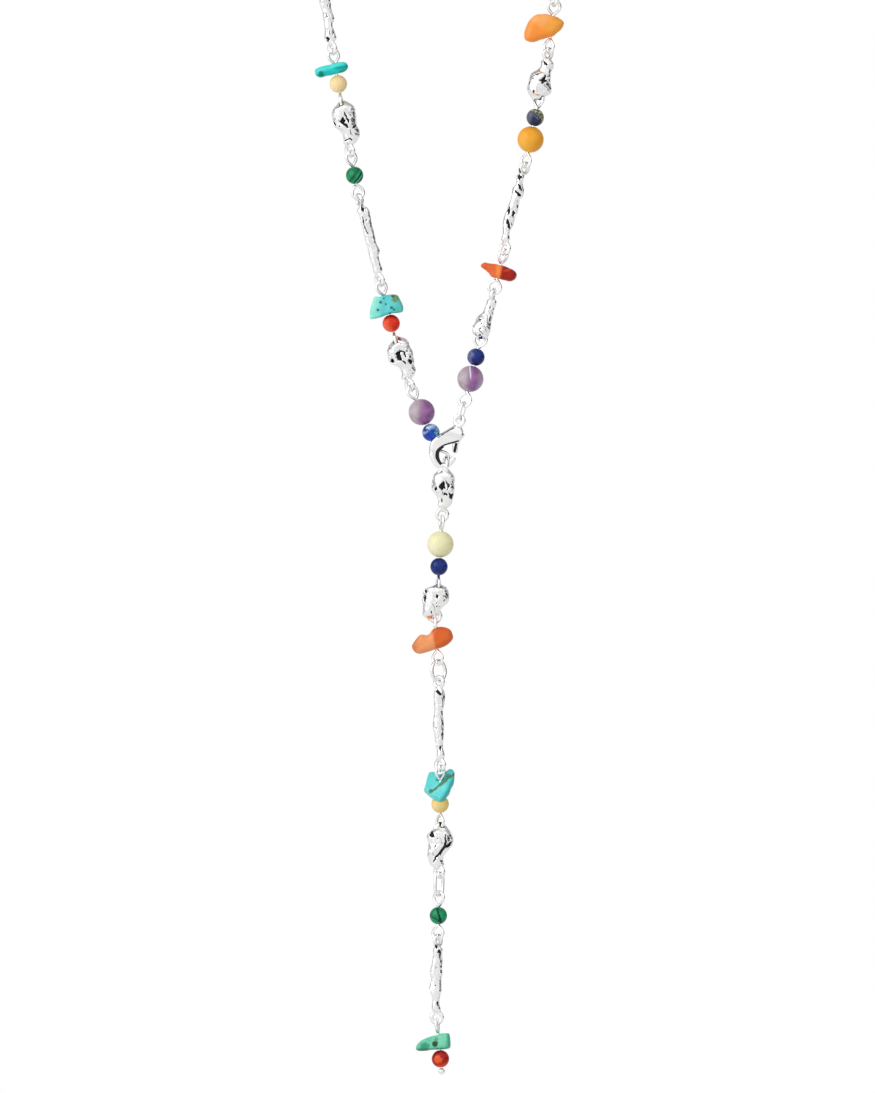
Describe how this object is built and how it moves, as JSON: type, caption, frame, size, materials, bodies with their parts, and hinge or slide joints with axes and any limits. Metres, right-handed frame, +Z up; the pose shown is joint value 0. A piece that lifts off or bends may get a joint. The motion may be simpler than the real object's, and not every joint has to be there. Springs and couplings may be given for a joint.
{
  "type": "y necklace",
  "caption": "Long Y necklace of cast silver bars and knots linked by wire pins with round stone beads and chips, closed by a lobster clasp above a hanging drop.",
  "frame": {"origin": "where the chain sits on the nape, on the middle of the chain", "axes": "+Z up, -Y to the front of the neck, +X to the right as seen from the front"},
  "size_m": [0.1019, 0.1102, 0.3207],
  "materials": {
    "silver": "bright cast silver",
    "turquoise_green": "polished",
    "cream": "polished",
    "malachite": "polished",
    "turquoise": "polished",
    "carnelian": "polished",
    "amethyst": "polished",
    "lapis": "polished",
    "amber_bean": "polished",
    "grey_lapis": "polished",
    "yellow": "polished",
    "orange": "polished",
    "pale_cream": "polished",
    "peach": "polished",
    "turquoise_leaf": "polished",
    "honey_cream": "polished",
    "turquoise_drop": "polished",
    "dark_carnelian": "polished"
  },
  "bodies": {
    "necklace": {"left_bar_1": "silver", "left_bar_2": "silver", "left_knot_1": "silver", "left_knot_2": "silver", "left_pins": "silver", "right_bar_1": "silver", "right_bar_2": "silver", "right_knot_1": "silver", "right_knot_2": "silver", "right_pins": "silver", "right_link": "silver", "drop_knot_1": "silver", "drop_knot_2": "silver", "drop_knot_3": "silver", "drop_bar_1": "silver", "drop_bar_2": "silver", "drop_jump_ring": "silver", "drop_oval_ring": "silver", "drop_pins": "silver", "back_bars": "silver", "back_knots": "silver", "back_pins": "silver", "left_turquoise_stick": "turquoise_green", "left_cream_bead": "cream", "left_malachite_bead": "malachite", "left_turquoise_block": "turquoise", "left_carnelian_bead": "carnelian", "left_amethyst_bead": "amethyst", "left_lapis_bead": "lapis", "right_orange_bean": "amber_bean", "right_lapis_bead_1": "grey_lapis", "right_yellow_bead": "yellow", "right_orange_dart": "orange", "right_lapis_bead_2": "lapis", "right_amethyst_bead": "amethyst", "drop_pale_bead": "pale_cream", "drop_lapis_bead": "lapis", "drop_orange_lobe": "peach", "drop_turquoise_leaf": "turquoise_leaf", "drop_cream_bead": "honey_cream", "drop_malachite_bead": "malachite", "drop_turquoise_drop": "turquoise_drop", "drop_carnelian_bead": "dark_carnelian", "back_turquoise_chips": "turquoise", "back_orange_chips": "amber_bean", "back_lapis_beads": "lapis", "back_yellow_beads": "yellow", "back_amethyst_beads": "amethyst", "back_carnelian_beads": "carnelian", "back_malachite_beads": "malachite", "back_cream_beads": "cream", "clasp_body": "silver"},
    "lever": {"clasp_lever": "silver"}
  },
  "joints": [
    {"name": "lever_hinge", "type": "hinge", "parent": "necklace", "child": "lever", "pos_m": [0.00273, -0.10605, -0.16986], "axis": [-0.0017, 1, -0.006], "range_deg": [0, 28], "stiffness_Nm_per_rad": 0.001, "springref_deg": -17.19}
  ]
}
